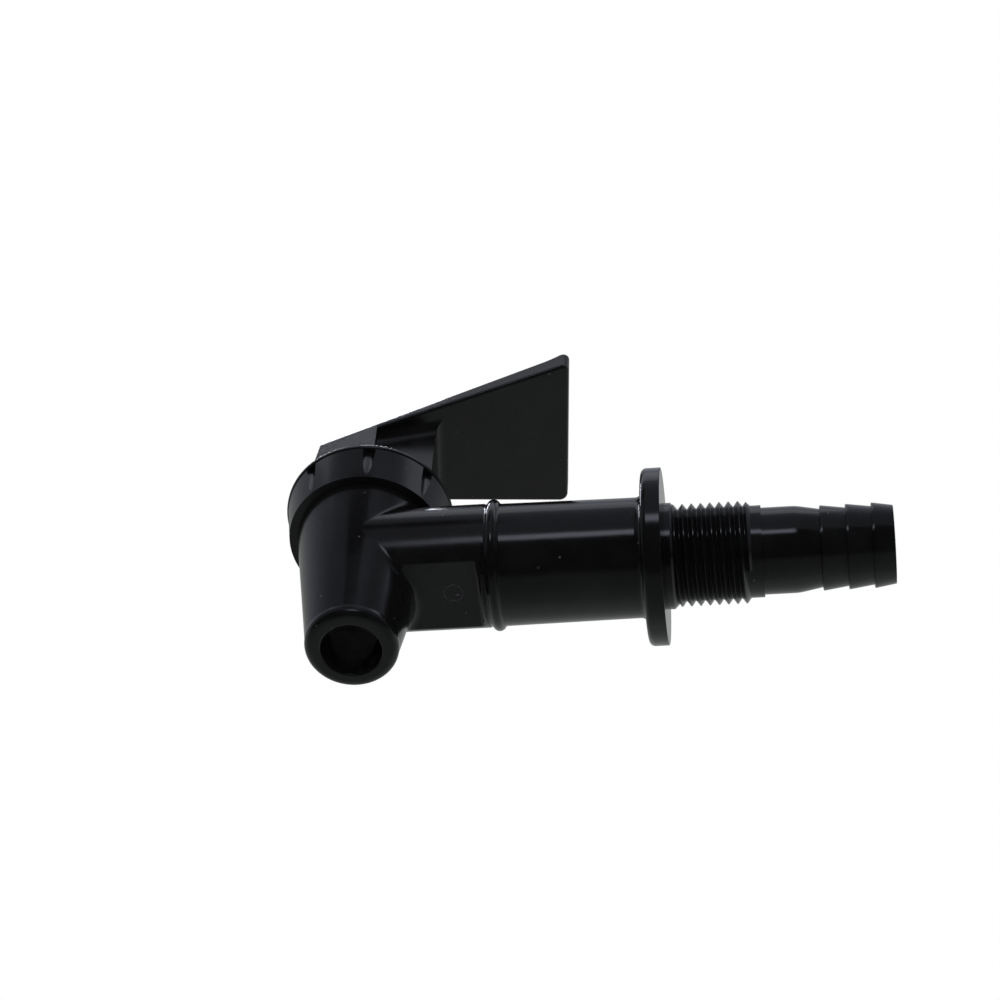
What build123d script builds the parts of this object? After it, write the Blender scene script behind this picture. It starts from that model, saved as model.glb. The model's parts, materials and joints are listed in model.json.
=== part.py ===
import math
import os

from build123d import *

os.makedirs("parts", exist_ok=True)

# Self-closing beverage dispenser faucet, sizes in mm.
# Origin: centre of the flange's seating face. +X runs to the hose end, +Z is up, the spout points down.

# Fits and clearances
running_gap = 0.05
turning_gap = 0.30
cam_gap = 0.03
pin_end_gap = 0.15
thread_gap = 0.08
bonnet_foot_gap = 0.12
spot_face_gap = 0.10
cup_side_gap = 0.70
cup_edge_gap = 0.30
stem_flange_gap = 0.40
spring_guide_gap = 0.45

# Water way
inlet_bore_radius = 4.4
outlet_bore_radius = 4.6
outlet_bore_depth = 5.43
throat_radius = 4.4

# Shank: joint bead, tapered tube, flange, pilot collar, thread, hose barbs
bead_width = 1.87
bead_height = 0.72
bead_land = 0.45
bead_root_round = 0.35
spigot_wall = 1.5
spigot_length = 6.55
shank_length = 21.93
shank_front_radius = 9.43
shank_rear_radius = 9.25
flange_radius = 13.65
flange_thickness = 3.05
flange_front_round = 0.9
flange_rear_round = 0.15
flange_root_round = 1.1
pilot_step = 1.11
pilot_length = 1.15
thread_core_radius = 7.05
thread_core_length = 13.75
threads_per_inch = 18
thread_depth = 0.81
thread_crest_width = 0.13
thread_root_gap = 0.06
thread_foot_depth = 0.25
thread_lead_in = 0.20
thread_length = 12.15
relief_step = 0.40
plain_length = 5.3
plain_end_round = 9.0
barb_wall = 1.6
barb_height = 0.5
barb_lead = 3.65
barb_pitch = 3.9
barb_count = 3
barb_step = 0.12
barb_land = 0.25
barb_tail = 3.25

# Faucet body: neck with an underside flat, tapered valve chamber and spout
neck_length = 19.57
neck_radius = 9.54
neck_flat_depth = 2.29
neck_flat_land = 0.70
neck_flat_round = 0.7
neck_edge_round = 0.5
neck_fillet = 1.7
spot_face_depth = 1.19
barrel_margin = 0.155
barrel_taper = 0.140
spout_reach = 20.03
spout_lip_height = 1.9
spout_lip_round = 1.35
spout_inner_round = 0.3
cap_thread_step = 0.70
cap_thread_length = 4.65
chamber_sump = 2.4
chamber_draft = 1.1
seat_ring_height = 0.8
seat_ring_width = 1.1
throat_land = 1.0

# Bonnet: fluted screw cap with a stem guide
bonnet_wall = 1.90
bonnet_flare = 0.85
bonnet_rim_step = 0.20
bonnet_rim_width = 0.62
bonnet_rim_round = 0.20
bonnet_roof = 1.88
flute_count = 8
flute_angle = 6.6
flute_radius = 1.05
flute_depth = 0.76
guide_wall = 0.95
guide_length = 3.0

# Seat cup: silicone cup clamped under the bonnet
cup_flange_thickness = 1.0
cup_overlap = 0.40
cup_wall = 0.8
cup_plug_thickness = 3.2

# Stem, spring and pin
stem_radius = 2.2
stem_flange_thickness = 1.0
stem_tip_length = 2.0
stem_tip_radius = 1.5
pin_radius = 1.0
pin_wall = 0.65
pin_height = 5.5
spring_wire_radius = 0.45
spring_turns = 6.5

# Lever: wedge paddle on a cam hub, turned a little about the stem as in the rest view
lever_swivel = 5.4
tilt_limit = 28.0
slot_spare_angle = 4.0
cam_rate = 5.0
paddle_under_height = 14.18
paddle_under_slope = 0.341
paddle_thickness = 1.31
paddle_thickening = 0.078
paddle_rear_x = 30.62
paddle_lip_length = 4.45
paddle_lip_rise = 0.72
paddle_lip_slope = 0.67
paddle_half_width = 7.14
paddle_flare = 0.208
paddle_corner_round = 1.2
paddle_edge_round = 0.5
hub_front_reach = 10.2
hub_front_rake = 1.4
hub_rear_x = 0.1
rib_inset = 2.34
rib_fillet = 2.0
heel_reach = 1.27
heel_rise = 6.44


# Places along the shank that follow from the sizes above
bead_rear_x = -flange_thickness - shank_length
bead_front_x = bead_rear_x - bead_width
neck_end_x = bead_front_x - bead_land
thread_core_end_x = pilot_length + thread_core_length
plain_end_x = thread_core_end_x + plain_length
barb_start_x = plain_end_x + barb_lead
hose_end_x = barb_start_x + (barb_count - 1) * barb_pitch + barb_tail
spigot_radius = inlet_bore_radius + spigot_wall
pilot_radius = thread_core_radius + pilot_step
plain_radius = thread_core_radius - relief_step
thread_pitch = 25.4 / threads_per_inch
thread_half_root = (thread_pitch - thread_root_gap) / 2
thread_half_crest = thread_crest_width / 2
thread_crest_radius = thread_core_radius + thread_depth
thread_start_x = pilot_length + thread_lead_in
thread_end_x = pilot_length + thread_length
barb_root_radius = inlet_bore_radius + barb_wall
barb_crest_radius = barb_root_radius + barb_height

# Places on the faucet body
stem_x = neck_end_x - neck_length
neck_flat_z = neck_flat_depth - neck_radius
neck_flat_end_x = neck_end_x - neck_flat_land
shoulder_z = neck_radius - spot_face_depth
barrel_radius = neck_radius + barrel_margin
shoulder_radius = barrel_radius + barrel_taper * shoulder_z
spout_mouth_z = -spout_reach
spout_lip_top_z = spout_mouth_z + spout_lip_height
spout_lip_radius = barrel_radius + barrel_taper * spout_lip_top_z
spot_face_radius = shoulder_radius + neck_fillet + spot_face_gap
cap_thread_radius = shoulder_radius - cap_thread_step
body_rim_z = shoulder_z + cap_thread_length
chamber_floor_z = -inlet_bore_radius - chamber_sump
seat_z = chamber_floor_z + seat_ring_height

# Seat cup, bonnet, stem and spring, from the inside out
cup_outer_radius = throat_radius + seat_ring_width + cup_overlap
cup_inner_radius = cup_outer_radius - cup_wall
cup_top_z = body_rim_z + cup_flange_thickness
cup_floor_z = seat_z + cup_plug_thickness
chamber_floor_radius = cup_outer_radius + cup_side_gap
chamber_top_radius = chamber_floor_radius + chamber_draft
bonnet_foot_z = shoulder_z + bonnet_foot_gap
bonnet_top_z = cup_top_z + bonnet_roof
bonnet_rim_z = bonnet_top_z - bonnet_rim_width
bonnet_foot_radius = cap_thread_radius + thread_gap + bonnet_wall
bonnet_neck_radius = bonnet_foot_radius + bonnet_flare
bonnet_rim_radius = bonnet_neck_radius + bonnet_rim_step
flute_floor_radius = bonnet_neck_radius - flute_depth
guide_radius = stem_radius + running_gap + guide_wall
stem_flange_radius = cup_inner_radius - stem_flange_gap
stem_flange_top_z = cup_floor_z + stem_flange_thickness
spring_mean_radius = guide_radius + spring_guide_gap + spring_wire_radius
spring_foot_z = stem_flange_top_z + spring_wire_radius
spring_height = cup_top_z - spring_wire_radius - spring_foot_z

# Lever, seen from the stem's axis and the bonnet's top
pin_z = bonnet_top_z + pin_height
rib_half_width = paddle_half_width - rib_inset
pin_half_length = rib_half_width - pin_wall - pin_end_gap
paddle_lip_start_x = paddle_rear_x - paddle_lip_length
hub_front_foot_x = -hub_front_reach
hub_front_top_x = hub_front_rake - hub_front_reach
tilt = math.radians(tilt_limit)
swivel = math.radians(lever_swivel)
lever_dir = Vector(math.cos(swivel), math.sin(swivel), 0)
lever_side = Vector(-math.sin(swivel), math.cos(swivel), 0)

# Working planes
stem_axis = Axis((stem_x, 0, 0), (0, 0, 1))
stem_plane = Plane(origin=(stem_x, 0, 0), x_dir=(-1, 0, 0), z_dir=(0, 1, 0))
neck_plane = Plane(origin=(stem_x, 0, 0), x_dir=(0, 0, -1), z_dir=(1, 0, 0))
lever_plane = Plane(origin=(stem_x, 0, bonnet_top_z), x_dir=lever_dir, z_dir=-lever_side)
lever_plan = Plane(origin=(stem_x, 0, bonnet_top_z), x_dir=lever_dir, z_dir=(0, 0, 1))
pin_plane = Plane(origin=(stem_x, 0, pin_z), x_dir=lever_dir, z_dir=-lever_side)


def under_height(x):
    """Height of the paddle's underside above the bonnet's top, x behind the stem."""
    return paddle_under_height + paddle_under_slope * x


def top_height(x):
    """Height of the paddle's upper face above the bonnet's top, x behind the stem."""
    return under_height(x) + paddle_thickness + paddle_thickening * x


def half_width(x):
    """Half width of the lever, x behind the stem."""
    return paddle_half_width + paddle_flare * x


def cam_point(angle):
    """Point of the hub that meets the bonnet when the lever has turned by angle (radians)."""
    reach = pin_height - cam_gap + cam_rate * angle
    along = reach * math.sin(angle) + cam_rate * math.cos(angle)
    up = pin_height - reach * math.cos(angle) + cam_rate * math.sin(angle)
    return (along, up)


# Thread of the shank: it leaves the pilot collar and is chamfered at the relief
with BuildPart() as thread:
    with BuildLine():
        winding = Helix(
            pitch=thread_pitch,
            height=thread_end_x - thread_start_x,
            radius=thread_core_radius,
            center=(thread_start_x, 0, 0),
            direction=(1, 0, 0),
        )
    winding_start = winding @ 0
    with BuildSketch(Plane(winding_start, x_dir=(0, winding_start.Y, winding_start.Z), z_dir=winding % 0)):
        with BuildLine():
            Polyline(
                (-thread_foot_depth, thread_half_root),
                (0, thread_half_root),
                (thread_depth, thread_half_crest),
                (thread_depth, -thread_half_crest),
                (0, -thread_half_root),
                (-thread_foot_depth, -thread_half_root),
                close=True,
            )
        make_face()
    sweep(path=winding, is_frenet=True)
    with BuildSketch(Plane.XZ):
        with BuildLine():
            Polyline(
                (0, 0),
                (0, thread_crest_radius + thread_depth),
                (thread_end_x - 2 * thread_depth, thread_crest_radius + thread_depth),
                (thread_end_x, thread_core_radius),
                (thread_end_x, 0),
                close=True,
            )
        make_face()
    revolve(axis=Axis.X, mode=Mode.INTERSECT)


# Shank
with BuildPart() as shank:
    with BuildSketch(Plane.XZ):
        with BuildLine():
            spigot = Polyline(
                (neck_end_x - spigot_length, inlet_bore_radius),
                (neck_end_x - spigot_length, spigot_radius),
                (neck_end_x, spigot_radius),
                (neck_end_x, shank_front_radius),
                (bead_front_x, shank_front_radius),
            )
            bead = ThreePointArc(
                spigot @ 1,
                (bead_front_x + bead_width / 2, shank_front_radius + bead_height),
                (bead_rear_x, shank_front_radius),
            )
            tube = Line(bead @ 1, (-flange_thickness, shank_rear_radius))
            collar = Polyline(
                tube @ 1,
                (-flange_thickness, flange_radius),
                (0, flange_radius),
                (0, pilot_radius),
                (pilot_length, pilot_radius),
                (pilot_length + pilot_radius - thread_core_radius, thread_core_radius),
                (thread_core_end_x, thread_core_radius),
                (thread_core_end_x, plain_radius),
                (plain_end_x, plain_radius),
                (barb_start_x - barb_step, barb_root_radius),
            )
            barb_line = []
            for barb in range(barb_count):
                barb_x = barb_start_x + barb * barb_pitch
                barb_line.append((barb_x - barb_step, barb_root_radius))
                barb_line.append((barb_x, barb_crest_radius))
                barb_line.append((barb_x + barb_land, barb_crest_radius))
            barbs = Polyline(*barb_line, (hose_end_x, barb_root_radius))
            Polyline(barbs @ 1, (hose_end_x, inlet_bore_radius), spigot @ 0)
        make_face()
    revolve(axis=Axis.X)
    flange_rims = shank.edges().filter_by(GeomType.CIRCLE).filter_by(
        lambda edge: abs(edge.radius - flange_radius) < 1e-3
    ).sort_by(Axis.X)
    fillet(flange_rims.first, radius=flange_front_round)
    flange_rear = shank.edges().filter_by(GeomType.CIRCLE).filter_by(
        lambda edge: abs(edge.radius - flange_radius) < 1e-3 and abs(edge.center().X) < 1e-3
    )
    fillet(flange_rear, radius=flange_rear_round)
    flange_root = shank.edges().filter_by(GeomType.CIRCLE).filter_by(
        lambda edge: abs(edge.radius - shank_rear_radius) < 1e-3
    )
    fillet(flange_root, radius=flange_root_round)
    bead_roots = shank.edges().filter_by(GeomType.CIRCLE).filter_by(
        lambda edge: abs(edge.radius - shank_front_radius) < 1e-3 and edge.center().X > neck_end_x + 1e-3
    )
    fillet(bead_roots, radius=bead_root_round)
    plain_end = shank.edges().filter_by(GeomType.CIRCLE).filter_by(
        lambda edge: abs(edge.radius - plain_radius) < 1e-3
    ).sort_by(Axis.X).last
    fillet(plain_end, radius=plain_end_round)
    add(thread.part)
shank.part.label = "shank"
export_step(shank.part, "parts/shank.step")


# Faucet body
with BuildPart() as faucet_body:
    with BuildSketch(neck_plane):
        Circle(neck_radius)
    extrude(amount=neck_end_x - stem_x)
    with BuildSketch(Plane.XZ):
        with BuildLine():
            Polyline(
                (stem_x, neck_flat_z),
                (neck_flat_end_x, neck_flat_z),
                (neck_flat_end_x, -2 * neck_radius),
                (stem_x, -2 * neck_radius),
                close=True,
            )
        make_face()
        flat_end = vertices().group_by(Axis.X)[-1].sort_by(Axis.Y).last
        fillet(flat_end, radius=neck_flat_round)
    extrude(amount=2 * neck_radius, both=True, mode=Mode.SUBTRACT)
    flat_edges = faucet_body.edges().filter_by(Axis.X).filter_by(
        lambda edge: abs(edge.center().Z - neck_flat_z) < 1e-3
    )
    fillet(flat_edges, radius=neck_edge_round)
    with BuildSketch(Plane(origin=(stem_x, 0, shoulder_z))):
        Circle(spot_face_radius)
    extrude(amount=neck_radius, mode=Mode.SUBTRACT)
    with BuildSketch(stem_plane):
        with BuildLine():
            Polyline(
                (0, spout_mouth_z),
                (spout_lip_radius, spout_mouth_z),
                (spout_lip_radius, spout_lip_top_z),
                (shoulder_radius, shoulder_z),
                (0, shoulder_z),
                close=True,
            )
        make_face()
    revolve(axis=stem_axis)
    cone = faucet_body.faces().filter_by(GeomType.CONE).sort_by(SortBy.AREA).last
    junction = cone.edges().filter_by(
        lambda edge: spout_lip_top_z + 1e-3 < edge.center().Z < shoulder_z - 1e-3
    ).filter_by(
        lambda edge: edge.center().X > stem_x and edge.geom_type != GeomType.LINE
    )
    fillet(junction, radius=neck_fillet)
    lip = faucet_body.edges().filter_by(GeomType.CIRCLE).sort_by(Axis.Z).first
    fillet(lip, radius=spout_lip_round)
    with BuildSketch(Plane(origin=(stem_x, 0, shoulder_z))):
        Circle(cap_thread_radius)
    extrude(amount=body_rim_z - shoulder_z)
    with BuildSketch(stem_plane):
        with BuildLine():
            Polyline(
                (0, spout_mouth_z - spout_lip_round),
                (outlet_bore_radius, spout_mouth_z - spout_lip_round),
                (outlet_bore_radius, spout_mouth_z + outlet_bore_depth),
                (throat_radius, seat_z - throat_land),
                (throat_radius, seat_z),
                (throat_radius + seat_ring_width, seat_z),
                (throat_radius + seat_ring_width, chamber_floor_z),
                (chamber_floor_radius, chamber_floor_z),
                (chamber_top_radius, body_rim_z),
                (0, body_rim_z),
                close=True,
            )
        make_face()
    revolve(axis=stem_axis, mode=Mode.SUBTRACT)
    mouth = faucet_body.edges().filter_by(GeomType.CIRCLE).filter_by(
        lambda edge: abs(edge.radius - outlet_bore_radius) < 1e-3
    ).sort_by(Axis.Z).first
    fillet(mouth, radius=spout_inner_round)
    with BuildSketch(neck_plane):
        Circle(inlet_bore_radius)
    extrude(amount=neck_end_x - stem_x, mode=Mode.SUBTRACT)
    with BuildSketch(Plane.YZ.offset(neck_end_x)):
        Circle(spigot_radius)
    extrude(amount=-spigot_length, mode=Mode.SUBTRACT)
faucet_body.part.label = "faucet_body"
export_step(faucet_body.part, "parts/faucet_body.step")


# Bonnet
with BuildPart() as bonnet:
    with BuildSketch(stem_plane):
        with BuildLine():
            Polyline(
                (cap_thread_radius + thread_gap, bonnet_foot_z),
                (bonnet_foot_radius, bonnet_foot_z),
                (bonnet_neck_radius, bonnet_rim_z - bonnet_rim_radius + bonnet_neck_radius),
                (bonnet_rim_radius, bonnet_rim_z),
                (bonnet_rim_radius, bonnet_top_z),
                (stem_radius + running_gap, bonnet_top_z),
                (stem_radius + running_gap, cup_top_z - guide_length),
                (guide_radius, cup_top_z - guide_length),
                (guide_radius, cup_top_z),
                (cap_thread_radius + thread_gap, cup_top_z),
                close=True,
            )
        make_face()
    revolve(axis=stem_axis)
    rims = bonnet.edges().filter_by(GeomType.CIRCLE).filter_by(
        lambda edge: abs(edge.radius - bonnet_rim_radius) < 1e-3
    )
    fillet(rims, radius=bonnet_rim_round)
    with BuildSketch(Plane(origin=(stem_x, 0, bonnet_foot_z))):
        with PolarLocations(flute_floor_radius + flute_radius, flute_count, start_angle=flute_angle):
            Circle(flute_radius)
    extrude(amount=bonnet_rim_z - bonnet_foot_z - bonnet_rim_round, mode=Mode.SUBTRACT)
bonnet.part.label = "bonnet"
export_step(bonnet.part, "parts/bonnet.step")


# Seat cup
with BuildPart() as seat_cup:
    with BuildSketch(stem_plane):
        with BuildLine():
            Polyline(
                (0, seat_z),
                (cup_outer_radius, seat_z),
                (cup_outer_radius, body_rim_z),
                (cap_thread_radius - cup_edge_gap, body_rim_z),
                (cap_thread_radius - cup_edge_gap, cup_top_z),
                (cup_inner_radius, cup_top_z),
                (cup_inner_radius, cup_floor_z),
                (stem_tip_radius, cup_floor_z),
                (stem_tip_radius, cup_floor_z - stem_tip_length),
                (0, cup_floor_z - stem_tip_length),
                close=True,
            )
        make_face()
    revolve(axis=stem_axis)
seat_cup.part.label = "seat_cup"
export_step(seat_cup.part, "parts/seat_cup.step")


# Stem
with BuildPart() as stem:
    with BuildSketch(stem_plane):
        with BuildLine():
            shaft = Polyline(
                (0, cup_floor_z - stem_tip_length),
                (stem_tip_radius, cup_floor_z - stem_tip_length),
                (stem_tip_radius, cup_floor_z),
                (stem_flange_radius, cup_floor_z),
                (stem_flange_radius, stem_flange_top_z),
                (stem_radius, stem_flange_top_z),
                (stem_radius, pin_z),
            )
            crown = CenterArc((0, pin_z), stem_radius, 0, 90)
            Line(crown @ 1, shaft @ 0)
        make_face()
    revolve(axis=stem_axis)
    with BuildSketch(pin_plane):
        Circle(pin_radius)
    extrude(amount=2 * stem_radius, both=True, mode=Mode.SUBTRACT)
stem.part.label = "stem"
export_step(stem.part, "parts/stem.step")


# Lever pin
with BuildPart() as lever_pin:
    with BuildSketch(pin_plane):
        Circle(pin_radius)
    extrude(amount=pin_half_length, both=True)
lever_pin.part.label = "lever_pin"
export_step(lever_pin.part, "parts/lever_pin.step")


# Spring
with BuildPart() as spring:
    with BuildLine():
        coil = Helix(
            pitch=spring_height / spring_turns,
            height=spring_height,
            radius=spring_mean_radius,
            center=(stem_x, 0, spring_foot_z),
        )
    with BuildSketch(Plane(origin=coil @ 0, z_dir=coil % 0)):
        Circle(spring_wire_radius)
    sweep(path=coil, is_frenet=True)
spring.part.label = "spring"
export_step(spring.part, "parts/spring.step")


# Lever
cam_steps = 8
cam_curve = [cam_point(tilt * step / cam_steps) for step in range(cam_steps + 1)]
rib_rear_x = cam_curve[-1][0] + heel_reach
rib_heel_height = cam_curve[-1][1] + heel_rise
slot_half_width = stem_radius + turning_gap
slot_tilt = tilt + math.radians(slot_spare_angle)
slot_corner = (slot_half_width * math.cos(slot_tilt), slot_half_width * math.sin(slot_tilt))
slot_drop = (pin_height + slot_corner[1]) / math.cos(slot_tilt) + slot_half_width
with BuildPart() as lever:
    with BuildSketch(lever_plane):
        with BuildLine():
            rear_lip = Spline(
                (paddle_lip_start_x, top_height(paddle_lip_start_x)),
                (paddle_rear_x, top_height(paddle_rear_x) + paddle_lip_rise),
                tangents=[(1, paddle_under_slope + paddle_thickening), (1, paddle_lip_slope)],
            )
            Polyline(
                rear_lip @ 1,
                (paddle_rear_x, under_height(paddle_rear_x)),
                (hub_rear_x, under_height(hub_rear_x)),
                (hub_rear_x, cam_gap),
                (hub_front_foot_x, cam_gap),
                (hub_front_top_x, top_height(hub_front_top_x)),
                rear_lip @ 0,
            )
        make_face()
    extrude(amount=2 * half_width(paddle_rear_x), both=True)
    with BuildSketch(lever_plan):
        with BuildLine():
            Polyline(
                (2 * hub_front_foot_x, -half_width(2 * hub_front_foot_x)),
                (paddle_rear_x, -half_width(paddle_rear_x)),
                (paddle_rear_x, half_width(paddle_rear_x)),
                (2 * hub_front_foot_x, half_width(2 * hub_front_foot_x)),
                close=True,
            )
        make_face()
        fillet(vertices().group_by(Axis.X)[-1], radius=paddle_corner_round)
    extrude(amount=2 * top_height(paddle_rear_x), mode=Mode.INTERSECT)
    upper_faces = lever.faces().filter_by(lambda face: face.normal_at().Z > 0.5)
    upper_rim = upper_faces.edges().filter_by(
        lambda edge: sum(edge in face.edges() for face in upper_faces) == 1
    )
    under_face = lever.faces().filter_by(lambda face: face.normal_at().Z < -0.5).sort_by(Axis.Z).last
    under_rim = under_face.edges().sort_by(Axis.Z)[1:]
    fillet(upper_rim + under_rim, radius=paddle_edge_round)
    with BuildSketch(lever_plane):
        with BuildLine():
            foot = Line((hub_front_foot_x / 2, cam_gap), cam_curve[0])
            cam = Spline(*cam_curve, tangents=[(1, 0), (math.cos(tilt), math.sin(tilt))])
            heel = Spline(
                cam @ 1,
                (rib_rear_x, rib_heel_height),
                tangents=[(math.cos(tilt), math.sin(tilt)), (0, 1)],
            )
            Polyline(
                heel @ 1,
                (rib_rear_x, (under_height(rib_rear_x) + top_height(rib_rear_x)) / 2),
                (hub_front_foot_x / 2, under_height(hub_front_foot_x / 2)),
                foot @ 0,
            )
        make_face()
    extrude(amount=rib_half_width, both=True)
    rib_joint = lever.edges().filter_by(GeomType.LINE).filter_by(
        lambda edge: abs(lever_plane.to_local_coords(edge.center()).Z) < rib_half_width + 1e-3
    ).filter_by(
        lambda edge: abs(lever_plane.to_local_coords(edge.center()).Y
                         - under_height(lever_plane.to_local_coords(edge.center()).X)) < 1e-3
    )
    fillet(rib_joint, radius=rib_fillet)
    with BuildSketch(pin_plane):
        with BuildLine():
            Polyline(
                (-slot_half_width, -2 * pin_height),
                (-slot_half_width, slot_half_width),
                (slot_half_width, slot_half_width),
                slot_corner,
                (slot_corner[0] + slot_drop * math.sin(slot_tilt),
                 slot_corner[1] - slot_drop * math.cos(slot_tilt)),
                close=True,
            )
        make_face()
    extrude(amount=slot_half_width, both=True, mode=Mode.SUBTRACT)
    with BuildSketch(pin_plane):
        Circle(pin_radius + running_gap)
    extrude(amount=pin_half_length + pin_end_gap, both=True, mode=Mode.SUBTRACT)
lever.part.label = "lever"
export_step(lever.part, "parts/lever.step")
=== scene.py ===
import json
import math

import bmesh
import bpy
from mathutils import Matrix, Vector


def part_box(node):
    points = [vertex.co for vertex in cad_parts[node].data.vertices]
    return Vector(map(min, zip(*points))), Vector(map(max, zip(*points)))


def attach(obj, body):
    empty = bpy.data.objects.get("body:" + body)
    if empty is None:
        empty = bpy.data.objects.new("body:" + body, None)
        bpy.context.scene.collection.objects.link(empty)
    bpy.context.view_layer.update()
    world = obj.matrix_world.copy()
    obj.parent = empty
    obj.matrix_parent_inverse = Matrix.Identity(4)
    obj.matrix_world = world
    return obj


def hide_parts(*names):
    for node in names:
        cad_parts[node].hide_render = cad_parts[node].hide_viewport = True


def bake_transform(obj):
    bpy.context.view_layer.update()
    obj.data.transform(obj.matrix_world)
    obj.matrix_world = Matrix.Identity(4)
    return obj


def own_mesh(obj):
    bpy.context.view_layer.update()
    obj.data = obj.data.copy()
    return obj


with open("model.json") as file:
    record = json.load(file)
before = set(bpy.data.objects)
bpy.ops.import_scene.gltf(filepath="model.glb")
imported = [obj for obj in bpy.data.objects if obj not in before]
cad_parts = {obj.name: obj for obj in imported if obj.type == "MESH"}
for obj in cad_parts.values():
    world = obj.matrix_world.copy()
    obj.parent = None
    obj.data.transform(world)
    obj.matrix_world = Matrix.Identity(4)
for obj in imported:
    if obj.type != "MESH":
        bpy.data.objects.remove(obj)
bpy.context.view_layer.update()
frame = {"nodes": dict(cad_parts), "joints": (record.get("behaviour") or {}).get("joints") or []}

bl_info = {
    "name": "Dispenser Faucet Dressing",
    "version": (1, 0, 0),
    "blender": (4, 5, 0),
    "location": "View3D > Sidebar > Faucet",
    "description": "Dresses a black plastic dispenser faucet with its moulding marks, finishes and studio",
    "category": "Object",
}

MM = 0.001
MERGE_DISTANCE = 0.0001 * MM
FULL_TURN = 2 * math.pi
QUARTER_TURN = FULL_TURN / 4
TURNS_PER_RADIAN = 1 / FULL_TURN
WHITE = (1.0, 1.0, 1.0)
BLACK = (0.0, 0.0, 0.0)

# Colour sockets of a Mix node
FIRST_COLOUR = 6
SECOND_COLOUR = 7
MIXED_COLOUR = 2

# Moulded plastic: its refraction, and the roughness and relief that each mark adds
PLASTIC_IOR = 1.47
HANDLED_ROUGHNESS = 0.025
STREAK_ROUGHNESS = 0.035
GRAIN_ROUGHNESS = 0.02
DUST_ROUGHNESS = 0.3
STREAK_RELIEF = 0.35
MIDDLE_OF_NOISE = 0.5

# Soft edge of a dust speck, in shares of its radius
SPECK_RIM = 1.5
SPECK_CORE = 0.7

# Gate mark: the ring's crest in shares of its width, the nub's place in shares of the ring's radius
RING_STEPS = 48
RING_ROOT = 0.05 * MM
CREST_START = 0.3
CREST_END = 0.7
NUB_FLATTENING = (1.0, 0.7, 0.35)
NUB_PLACE = (0.4, 0.2, 0)

# Tent of curved cards: each stop has degrees round it, up from the camera, then level and tint
TENT_SEGMENTS = 96
CAMERA_TURN = 0.5
COOL = (0.93, 0.97, 1.16)
PLAIN = (0.98, 1.03, 1.0)
CARD_LEVELS = (
    (-180, 0.45, PLAIN), (-150, 0.42, PLAIN), (-132, 0.40, PLAIN), (-110, 0.33, PLAIN), (-92, 0.31, PLAIN),
    (-77, 0.22, PLAIN), (-50, 0.14, PLAIN), (-26, 0.10, PLAIN), (-16, 0.0, PLAIN),
    (57, 0.0, COOL), (60, 0.20, COOL), (98, 0.21, COOL), (107, 0.25, COOL), (117, 0.32, COOL),
    (132, 0.38, COOL), (144, 0.42, COOL), (180, 0.45, PLAIN),
)
SLIT_LEVELS = ((46, 0.0, COOL), (49, 1.0, COOL), (55.5, 1.0, COOL), (58.5, 0.0, COOL))
CARD_STRENGTH = 1.0
SLIT_STRENGTH = 2.3
SPOUT_END_SHADE = 0.28
HOSE_END_SHADE = 0.38

# Small cards above the near side, in metres, that only reflections see: two glow and give highlights on the
# lever's side and the bonnet's rim, and a black one gives a dark patch in the barrel's reflection
CARD_TINT = (0.94, 0.98, 1.1)
NEAR_CARDS = {
    "lever_card": {"middle": (-0.03, -0.031, 0.06), "width": 0.13, "depth": 0.026, "strength": 0.72},
    "bonnet_card": {"middle": (-0.058, -0.0062, 0.06), "width": 0.034, "depth": 0.008, "strength": 18.0},
    "barrel_card": {"middle": (-0.0545, -0.090, 0.06), "width": 0.041, "depth": 0.036, "strength": 0.0},
}

# Lamps, in metres and watts
LAMPS = {
    "side_lamp": {"place": (-0.05, -0.9, 0.15), "size": 0.8, "power": 4.5},
    "top_lamp": {"place": (0.1, 0.1, 1.1), "size": 1.0, "power": 6.0},
    "low_lamp": {"place": (0.0, 0.75, -0.45), "size": 0.7, "power": 2.5},
}


# Sizes and colours a user would change

class FaucetMarkSettings(bpy.types.PropertyGroup):
    """Marks that the mould leaves on the plastic."""

    gate_place: bpy.props.FloatVectorProperty(
        name="Gate mark", description="Middle of the gate mark on the neck's flat",
        default=(-32.2 * MM, -0.5 * MM, -7.25 * MM), subtype="TRANSLATION", precision=5)
    gate_radius: bpy.props.FloatProperty(
        name="Gate radius", description="Outside radius of the gate mark's ring", default=1.65 * MM,
        unit="LENGTH", precision=5)
    gate_height: bpy.props.FloatProperty(
        name="Gate height", description="How far the ring stands out of the flat", default=0.11 * MM,
        unit="LENGTH", precision=5)
    ring_width: bpy.props.FloatProperty(
        name="Ring width", description="Width of the ring at its root", default=0.363 * MM,
        unit="LENGTH", precision=5)
    nub_radius: bpy.props.FloatProperty(
        name="Nub radius", description="Half the length of the torn nub inside the ring", default=0.495 * MM,
        unit="LENGTH", precision=5)


class FaucetColourSettings(bpy.types.PropertyGroup):
    """Colours of the pieces."""

    black: bpy.props.FloatVectorProperty(
        name="Black plastic", description="Moulded plastic of the body, shank, bonnet and lever",
        default=(0.0022, 0.0023, 0.0025), subtype="COLOR", min=0, max=1)
    dust: bpy.props.FloatVectorProperty(
        name="Dust", description="Specks of dust and pale moulding spots",
        default=(0.045, 0.045, 0.047), subtype="COLOR", min=0, max=1)
    steel: bpy.props.FloatVectorProperty(
        name="Steel", description="Pin and spring", default=(0.62, 0.61, 0.60), subtype="COLOR", min=0, max=1)
    acetal: bpy.props.FloatVectorProperty(
        name="Acetal", description="Stem", default=(0.75, 0.74, 0.70), subtype="COLOR", min=0, max=1)
    silicone: bpy.props.FloatVectorProperty(
        name="Silicone", description="Seat cup", default=(0.55, 0.56, 0.55), subtype="COLOR", min=0, max=1)


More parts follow.
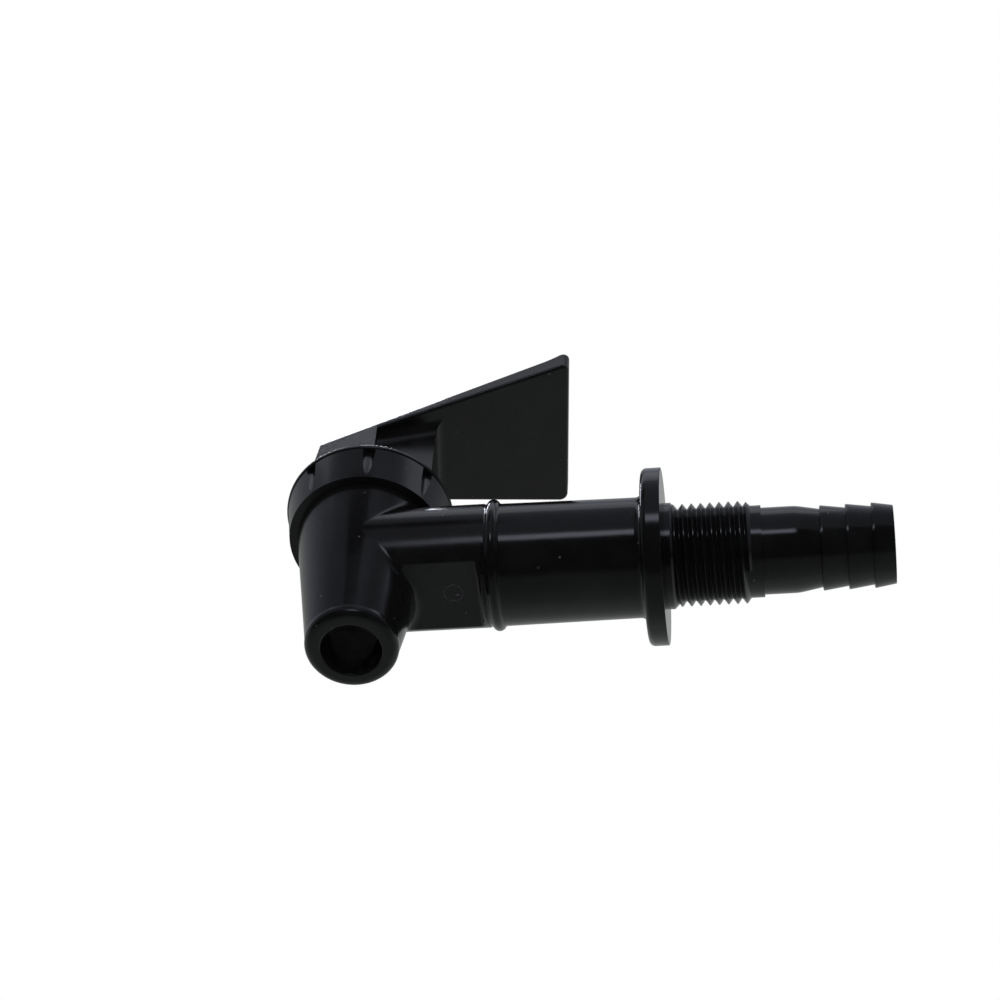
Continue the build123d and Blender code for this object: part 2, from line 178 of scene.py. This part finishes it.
class FaucetStageSettings(bpy.types.PropertyGroup):
    """Camera, light and floor."""

    camera_place: bpy.props.FloatVectorProperty(
        name="Camera", description="Where the camera stands", default=(0.021352, -0.281369, -0.397594),
        subtype="TRANSLATION", precision=5)
    camera_right: bpy.props.FloatVectorProperty(
        name="Camera right", description="Direction to the right of the picture",
        default=(0.994014, 0.098469, 0.047326), subtype="DIRECTION", precision=5)
    camera_up: bpy.props.FloatVectorProperty(
        name="Camera up", description="Direction to the top of the picture",
        default=(0.054742, -0.823792, 0.564243), subtype="DIRECTION", precision=5)
    lens: bpy.props.FloatProperty(
        name="Lens", description="Focal length on a 36 mm sensor", default=114.5, unit="CAMERA")
    floor_z: bpy.props.FloatProperty(
        name="Floor height", description="Height of the floor, below the camera", default=-0.62,
        unit="LENGTH")
    floor_reach: bpy.props.FloatProperty(
        name="Floor reach", description="Distance from the floor's middle to its sides", default=12.0,
        unit="LENGTH")
    tent_radius: bpy.props.FloatProperty(
        name="Tent radius", description="Radius of the curved cards around the faucet", default=0.55,
        unit="LENGTH")
    tent_length: bpy.props.FloatProperty(
        name="Tent length", description="Length of the curved cards", default=1.6, unit="LENGTH")
    ambient: bpy.props.FloatProperty(
        name="Ambient light", description="Strength of the light that comes from all round", default=0.85,
        min=0)
    background: bpy.props.FloatProperty(
        name="Background", description="Strength of the white background", default=1.0, min=0)


# Node trees written as plain expressions

class Value:
    """A socket of a node tree; numbers take plain arithmetic."""

    def __init__(self, tree, socket):
        self.tree = tree
        self.socket = socket

    def _math(self, operation, first, second):
        return self.tree.node("ShaderNodeMath", {"operation": operation}, {0: first, 1: second})

    def __add__(self, other):
        return self._math("ADD", self, other)

    def __radd__(self, other):
        return self._math("ADD", other, self)

    def __sub__(self, other):
        return self._math("SUBTRACT", self, other)

    def __rsub__(self, other):
        return self._math("SUBTRACT", other, self)

    def __mul__(self, other):
        return self._math("MULTIPLY", self, other)

    def __rmul__(self, other):
        return self._math("MULTIPLY", other, self)

    def either(self, other):
        """The larger of two values."""
        return self._math("MAXIMUM", self, other)

    def angle_from(self, other):
        """Angle, in radians, of a direction that goes this far across and the other far ahead."""
        return self._math("ARCTAN2", self, other)


class Tree:
    """Adds nodes to the node tree of a material or a world, and links them."""

    def __init__(self, owner):
        owner.use_nodes = True
        self.owner = owner
        self.tree = owner.node_tree
        self.tree.nodes.clear()

    def node(self, kind, settings=None, inputs=None, output=0):
        """Adds a node, sets it, fills or links its sockets, and gives one of its outputs."""
        made = self.tree.nodes.new(kind)
        for name, value in (settings or {}).items():
            if name == "stops":
                self._set_stops(made.color_ramp, value)
            else:
                setattr(made, name, value)
        for name, value in (inputs or {}).items():
            if isinstance(value, Value):
                self.tree.links.new(value.socket, made.inputs[name])
            else:
                made.inputs[name].default_value = value
        return Value(self, made.outputs[output]) if made.outputs else None

    @staticmethod
    def _set_stops(ramp, stops):
        while len(ramp.elements) > 1:
            ramp.elements.remove(ramp.elements[-1])
        ramp.elements[0].position = stops[0][0]
        ramp.elements[0].color = stops[0][1]
        for position, colour in stops[1:]:
            ramp.elements.new(position).color = colour

    def place(self):
        """Place on the piece, in metres."""
        return self.node("ShaderNodeTexCoord", output="Object")

    def along(self, place, direction):
        """How far a place lies along a direction."""
        return self.node("ShaderNodeVectorMath", {"operation": "DOT_PRODUCT"}, {
            0: place, 1: direction}, output="Value")

    def noise(self, size, detail=2.0, stretch=None):
        """Cloudy values from 0 to 1 whose clouds are about as wide as size."""
        place = self.place()
        if stretch:
            place = self.node("ShaderNodeMapping", inputs={"Vector": place, "Scale": stretch})
        return self.node("ShaderNodeTexNoise", inputs={"Vector": place, "Scale": 1 / size, "Detail": detail})

    def ramp(self, value, low, high):
        """0 at low and 1 at high, straight between them and level outside; low may be the larger."""
        return self.node("ShaderNodeMapRange", {"clamp": True}, {
            "Value": value, "From Min": low, "From Max": high})

    def specks(self, spacing, radius, share):
        """Round specks, from 0 to 1: a share of the cells, spacing apart, have one."""
        inputs = {"Vector": self.place(), "Scale": 1 / spacing}
        away = self.node("ShaderNodeTexVoronoi", inputs=inputs, output="Distance")
        pick = self.node("ShaderNodeTexVoronoi", inputs=inputs, output="Color")
        chance = self.node("ShaderNodeSeparateColor", inputs={"Color": pick}, output="Red")
        speck = self.ramp(away, low=SPECK_RIM * radius / spacing, high=SPECK_CORE * radius / spacing)
        return speck * self.ramp(chance, low=share, high=0)

    def mix(self, factor, first, second):
        """A colour between two, by a factor from 0 to 1."""
        return self.node("ShaderNodeMix", {"data_type": "RGBA"}, {
            "Factor": factor, FIRST_COLOUR: first, SECOND_COLOUR: second}, output=MIXED_COLOUR)

    def bump(self, height, depth, under=None):
        """Normal of a relief that is depth high, on top of another normal where one is given."""
        inputs = {"Height": height, "Distance": depth}
        if under is not None:
            inputs["Normal"] = under
        return self.node("ShaderNodeBump", inputs=inputs)

    def principled(self, inputs):
        return self.node("ShaderNodeBsdfPrincipled", inputs=inputs)

    def glow(self, colour, strength):
        return self.node("ShaderNodeEmission", inputs={"Color": colour, "Strength": strength})

    def show(self, shader):
        """Puts a shader on the surface and gives the finished material."""
        self.node("ShaderNodeOutputMaterial", inputs={"Surface": shader})
        return self.owner


def rgba(colour, share=1.0):
    """Four values of a colour, scaled."""
    return (colour[0] * share, colour[1] * share, colour[2] * share, 1.0)


def between(low, high, share):
    """The value that lies a share of the way from low to high."""
    return low + (high - low) * share


def graded(levels):
    """Stops of a colour ramp over a full turn, from degrees, level and tint."""
    return [(CAMERA_TURN + math.radians(degrees) * TURNS_PER_RADIAN, rgba(tint, level))
            for degrees, level, tint in levels]


# Finishes

def moulded_black(slot, skin_roughness, grain_depth, flow):
    """Black moulded plastic: cloudy gloss, fine grain, flow streaks along flow, dust specks."""
    colours = bpy.context.scene.faucet_colours
    tree = Tree(bpy.data.materials.new(slot))
    clouds = tree.noise(size=6 * MM, detail=3.0)
    grain = tree.noise(size=0.12 * MM)
    streaks = tree.noise(size=1.1 * MM, detail=3.0, stretch=flow)
    ripple = tree.noise(size=3.0 * MM, detail=1.0)
    fine_dust = tree.specks(spacing=3.1 * MM, radius=0.13 * MM, share=0.7)
    coarse_dust = tree.specks(spacing=5.2 * MM, radius=0.2 * MM, share=0.5)
    dust = fine_dust.either(coarse_dust)
    handled = tree.ramp(clouds, low=0.45, high=0.75)
    tint = tree.mix(handled, rgba(colours.black), rgba(colours.black, share=1.6))
    roughness = (
        skin_roughness
        + HANDLED_ROUGHNESS * handled
        + STREAK_ROUGHNESS * (streaks - MIDDLE_OF_NOISE)
        + GRAIN_ROUGHNESS * (grain - MIDDLE_OF_NOISE)
        + DUST_ROUGHNESS * dust
    )
    grained = tree.bump(grain, depth=grain_depth)
    return tree.show(tree.principled({
        "Base Color": tree.mix(dust, tint, rgba(colours.dust)),
        "Roughness": roughness,
        "IOR": PLASTIC_IOR,
        "Normal": tree.bump(ripple + STREAK_RELIEF * streaks, depth=0.012 * MM, under=grained),
    }))


def drawn_steel(slot, drawing):
    """Stainless steel with fine lines along drawing and faint stains."""
    colours = bpy.context.scene.faucet_colours
    tree = Tree(bpy.data.materials.new(slot))
    lines = tree.noise(size=0.08 * MM, stretch=drawing)
    stain = tree.noise(size=1.5 * MM)
    return tree.show(tree.principled({
        "Base Color": tree.mix(stain, rgba(colours.steel), rgba(colours.steel, share=0.82)),
        "Metallic": 1.0,
        "Roughness": between(low=0.2, high=0.36, share=lines),
        "Normal": tree.bump(lines, depth=0.004 * MM),
    }))


def natural_acetal(slot):
    """Milky acetal with faint turning marks."""
    colours = bpy.context.scene.faucet_colours
    tree = Tree(bpy.data.materials.new(slot))
    clouds = tree.noise(size=2 * MM, detail=3.0)
    turned = tree.noise(size=0.25 * MM, stretch=(0.1, 0.1, 1.0))
    return tree.show(tree.principled({
        "Base Color": tree.mix(clouds, rgba(colours.acetal), rgba(colours.acetal, share=0.9)),
        "Roughness": between(low=0.36, high=0.48, share=turned),
        "Normal": tree.bump(turned, depth=0.01 * MM),
    }))


def soft_silicone(slot):
    """Grey silicone with a dry bloom."""
    colours = bpy.context.scene.faucet_colours
    tree = Tree(bpy.data.materials.new(slot))
    bloom = tree.noise(size=1.2 * MM, detail=4.0)
    return tree.show(tree.principled({
        "Base Color": tree.mix(bloom, rgba(colours.silicone), rgba(colours.silicone, share=0.86)),
        "Roughness": between(low=0.46, high=0.64, share=bloom),
        "Normal": tree.bump(bloom, depth=0.02 * MM),
    }))


# Pieces

def add_object(name, data):
    """Adds an object to the scene."""
    made = bpy.data.objects.new(name, data)
    bpy.context.scene.collection.objects.link(made)
    return made


def add_mesh(bm, name, material):
    """Turns a bmesh into an object with one material."""
    mesh = bpy.data.meshes.new(name)
    bm.to_mesh(mesh)
    bm.free()
    mesh.materials.append(material)
    return add_object(name, mesh)


def add_piece(bm, name, slot, sharp_degrees):
    """Closes a bmesh into a smooth piece with the finish of a slot."""
    bmesh.ops.remove_doubles(bm, verts=bm.verts, dist=MERGE_DISTANCE)
    bmesh.ops.recalc_face_normals(bm, faces=bm.faces)
    piece = add_mesh(bm, name, bpy.data.materials[slot])
    piece.data.shade_smooth()
    piece.data.set_sharp_from_angle(angle=math.radians(sharp_degrees))
    return piece


def copy_of(node, name, slot):
    """A piece with a node's shape that stands in for the node, which is hidden."""
    bm = bmesh.new()
    bm.from_mesh(frame["nodes"][node].data)
    piece = add_piece(bm, name, slot, sharp_degrees=35.0)
    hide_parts(node)
    return piece


class FAUCET_OT_finish_pieces(bpy.types.Operator):
    """Give every carried-over piece its finish"""

    bl_idname = "faucet.finish_pieces"
    bl_label = "Finish the pieces"

    def execute(self, context):
        finishes = {
            "faucet_body": moulded_black(
                "body_plastic", skin_roughness=0.17, grain_depth=0.0025 * MM, flow=(1.0, 1.0, 0.12)),
            "shank": moulded_black(
                "shank_plastic", skin_roughness=0.13, grain_depth=0.0018 * MM, flow=(0.12, 1.0, 1.0)),
            "bonnet": moulded_black(
                "bonnet_plastic", skin_roughness=0.2, grain_depth=0.003 * MM, flow=(1.0, 1.0, 0.2)),
            "lever": moulded_black(
                "lever_plastic", skin_roughness=0.27, grain_depth=0.0028 * MM, flow=(0.15, 1.0, 1.0)),
            "lever_pin": drawn_steel("pin_steel", drawing=(1.0, 0.05, 1.0)),
            "spring": drawn_steel("spring_steel", drawing=(0.2, 0.2, 1.0)),
            "stem": natural_acetal("stem_plastic"),
            "seat_cup": soft_silicone("seat_rubber"),
        }
        for node, finish in finishes.items():
            piece = frame["nodes"][node]
            piece.data.materials.clear()
            piece.data.materials.append(finish)
        return {"FINISHED"}


class FAUCET_OT_press_gate_mark(bpy.types.Operator):
    """Raise the gate mark on the neck's flat"""

    bl_idname = "faucet.press_gate_mark"
    bl_label = "Press the gate mark"

    def execute(self, context):
        marks = context.scene.faucet_marks
        middle = Vector(marks.gate_place)
        section = (
            (marks.gate_radius, RING_ROOT),
            (marks.gate_radius - CREST_START * marks.ring_width, -marks.gate_height),
            (marks.gate_radius - CREST_END * marks.ring_width, -marks.gate_height),
            (marks.gate_radius - marks.ring_width, RING_ROOT),
        )
        bm = bmesh.new()
        ring = [bm.verts.new(middle + Vector((reach, 0, drop))) for reach, drop in section]
        edges = [bm.edges.new(pair) for pair in zip(ring, ring[1:] + ring[:1])]
        bmesh.ops.spin(bm, geom=[*edges, *ring], cent=middle, axis=(0, 0, 1), angle=FULL_TURN,
                       steps=RING_STEPS, use_merge=True, use_duplicate=False)
        nub = bmesh.ops.create_icosphere(bm, subdivisions=2, radius=marks.nub_radius)["verts"]
        bmesh.ops.scale(bm, verts=nub, vec=NUB_FLATTENING)
        bmesh.ops.translate(bm, verts=nub, vec=middle + marks.gate_radius * Vector(NUB_PLACE))
        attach(add_piece(bm, "gate_mark", "body_plastic", sharp_degrees=50.0), "faucet")
        return {"FINISHED"}


class FAUCET_OT_free_valve(bpy.types.Operator):
    """Put copies of the spring and the seat cup in their places, the cup hung on the faucet body"""

    bl_idname = "faucet.free_valve"
    bl_label = "Free the valve"

    def execute(self, context):
        cup_low, cup_high = (Vector(corner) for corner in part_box("seat_cup"))
        spring = copy_of("spring", "closing_spring", "spring_steel")
        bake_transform(spring)
        lift = next(joint for joint in frame["joints"] if joint["name"] == "stem_lift")["range_m"][1]
        cup = copy_of("seat_cup", "closing_cup", "seat_rubber")
        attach(cup, "faucet")
        1 - lift / (cup_high.z - cup_low.z)
        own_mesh(cup)
        return {"FINISHED"}


# Stage

def camera_axes(stage):
    """Directions to the camera's right, its top and its back."""
    right = Vector(stage.camera_right).normalized()
    up = Vector(stage.camera_up).normalized()
    return right, up, right.cross(up)


def set_up_camera(stage):
    data = bpy.data.cameras.new("camera")
    data.lens = stage.lens
    data.sensor_width = 36.0
    data.clip_start = 0.01
    data.clip_end = 20.0
    camera = add_object("camera", data)
    turn = Matrix(camera_axes(stage)).transposed().to_4x4()
    camera.matrix_world = Matrix.Translation(stage.camera_place) @ turn
    bpy.context.scene.camera = camera


def lay_floor(stage):
    """Pale paper under the faucet that fades to the white of the background."""
    bm = bmesh.new()
    bmesh.ops.create_grid(bm, x_segments=1, y_segments=1, size=stage.floor_reach)
    bmesh.ops.translate(bm, verts=bm.verts, vec=(0, 0, stage.floor_z))
    tree = Tree(bpy.data.materials.new("floor_paper"))
    fibres = tree.noise(size=20 * MM, detail=3.0)
    paper = tree.mix(fibres, rgba(WHITE, share=0.90), rgba(WHITE, share=0.88))
    near = tree.principled({"Base Color": paper, "Roughness": 0.9})
    far = tree.glow(rgba(WHITE), stage.background)
    away = tree.node("ShaderNodeVectorMath", {"operation": "LENGTH"}, {0: tree.place()}, output="Value")
    fade = tree.ramp(away, low=0.65, high=1.5)
    faded = tree.node("ShaderNodeMixShader", inputs={0: fade, 1: near, 2: far})
    add_mesh(bm, "floor", tree.show(faded))


def hang_card(bm, name, material):
    """A card that only glossy reflections see."""
    card = add_mesh(bm, name, material)
    card.visible_camera = False
    card.visible_diffuse = False
    card.visible_shadow = False
    card.visible_transmission = False


def hang_tent(stage):
    """Curved cards round the faucet: dark behind the camera, with a bright slit over it."""
    bm = bmesh.new()
    bmesh.ops.create_cone(bm, cap_ends=True, segments=TENT_SEGMENTS, radius1=stage.tent_radius,
                          radius2=stage.tent_radius, depth=stage.tent_length)
    bmesh.ops.rotate(bm, verts=bm.verts, cent=(0, 0, 0), matrix=Matrix.Rotation(QUARTER_TURN, 3, "Y"))
    tree = Tree(bpy.data.materials.new("tent_cards"))
    _, up, back = camera_axes(stage)
    place = tree.place()
    upward = tree.along(place, (0, up.y, up.z))
    to_camera = tree.along(place, (0, back.y, back.z))
    turn = upward.angle_from(to_camera) * TURNS_PER_RADIAN + CAMERA_TURN
    card_level = tree.node("ShaderNodeValToRGB", {"stops": graded(CARD_LEVELS)}, {"Fac": turn})
    slit_level = tree.node("ShaderNodeValToRGB", {"stops": graded(SLIT_LEVELS)}, {"Fac": turn})
    length = tree.along(place, (1, 0, 0))
    spout_end = tree.ramp(length, low=-0.065, high=-0.095)
    hose_end = tree.ramp(length, low=0.1, high=0.25)
    above = tree.ramp(turn, low=0.66, high=0.68)
    shade = above * (SPOUT_END_SHADE * spout_end + HOSE_END_SHADE * hose_end)
    slit_run = tree.ramp(length, low=0.12, high=0.06) * tree.ramp(length, low=-0.13, high=-0.07)
    card_light = tree.glow(tree.mix(shade, card_level, rgba(BLACK)), CARD_STRENGTH)
    slit_light = tree.glow(tree.mix(slit_run, rgba(BLACK), slit_level), SLIT_STRENGTH)
    light = tree.node("ShaderNodeAddShader", inputs={0: card_light, 1: slit_light})
    hang_card(bm, "tent", tree.show(light))


# A glowing card that only reflections see; with no strength it is black and darkens the reflection instead
def hang_near_card(name, middle, width, depth, strength):
    bm = bmesh.new()
    bmesh.ops.create_grid(bm, x_segments=1, y_segments=1, size=1)
    bmesh.ops.scale(bm, verts=bm.verts, vec=(width / 2, depth / 2, 1))
    bmesh.ops.translate(bm, verts=bm.verts, vec=middle)
    tree = Tree(bpy.data.materials.new(name))
    hang_card(bm, name, tree.show(tree.glow(rgba(CARD_TINT), strength)))


def hang_lamp(name, place, size, power):
    """A large soft lamp, aimed at the faucet; the gloss sees the tent instead of it."""
    data = bpy.data.lights.new(name, "AREA")
    data.size = size
    data.energy = power
    lamp = add_object(name, data)
    lamp.location = place
    lamp.rotation_mode = "QUATERNION"
    lamp.rotation_quaternion = Vector(place).to_track_quat("Z", "Y")
    lamp.visible_glossy = False
    lamp.visible_camera = False


def light_world(stage):
    """Light from all round, with a white background for the camera, gloss and glass."""
    world = bpy.data.worlds.new("studio")
    bpy.context.scene.world = world
    tree = Tree(world)
    seen = tree.node("ShaderNodeLightPath", output="Is Camera Ray")
    for ray in ("Is Glossy Ray", "Is Transmission Ray"):
        seen = seen.either(tree.node("ShaderNodeLightPath", output=ray))
    light = tree.node("ShaderNodeBackground", inputs={
        "Color": rgba(WHITE), "Strength": between(stage.ambient, stage.background, seen)})
    tree.node("ShaderNodeOutputWorld", inputs={"Surface": light})


class FAUCET_OT_light_stage(bpy.types.Operator):
    """Set up the camera, the floor and the light"""

    bl_idname = "faucet.light_stage"
    bl_label = "Light the stage"

    def execute(self, context):
        stage = context.scene.faucet_stage
        context.scene.view_settings.view_transform = "Standard"
        set_up_camera(stage)
        lay_floor(stage)
        hang_tent(stage)
        for name, card in NEAR_CARDS.items():
            hang_near_card(name, **card)
        for name, lamp in LAMPS.items():
            hang_lamp(name, **lamp)
        light_world(stage)
        return {"FINISHED"}


class FAUCET_PT_dressing(bpy.types.Panel):
    """Dressing of the faucet"""

    bl_label = "Faucet"
    bl_idname = "FAUCET_PT_dressing"
    bl_space_type = "VIEW_3D"
    bl_region_type = "UI"
    bl_category = "Faucet"

    def draw(self, context):
        for group, settings in SETTINGS.items():
            box = self.layout.box()
            for name in settings.__annotations__:
                box.prop(getattr(context.scene, group), name)
        for operator in OPERATORS:
            self.layout.operator(operator.bl_idname)


SETTINGS = {
    "faucet_marks": FaucetMarkSettings,
    "faucet_colours": FaucetColourSettings,
    "faucet_stage": FaucetStageSettings,
}
OPERATORS = (
    FAUCET_OT_finish_pieces, FAUCET_OT_press_gate_mark, FAUCET_OT_free_valve, FAUCET_OT_light_stage)
CLASSES = (*SETTINGS.values(), *OPERATORS, FAUCET_PT_dressing)


def register():
    for made in CLASSES:
        bpy.utils.register_class(made)
    for group, settings in SETTINGS.items():
        setattr(bpy.types.Scene, group, bpy.props.PointerProperty(type=settings))


def unregister():
    for group in SETTINGS:
        delattr(bpy.types.Scene, group)
    for made in reversed(CLASSES):
        bpy.utils.unregister_class(made)


def main():
    register()
    bpy.ops.faucet.finish_pieces()
    bpy.ops.faucet.press_gate_mark()
    bpy.ops.faucet.free_valve()
    bpy.ops.faucet.light_stage()


if __name__ == "__main__":
    main()
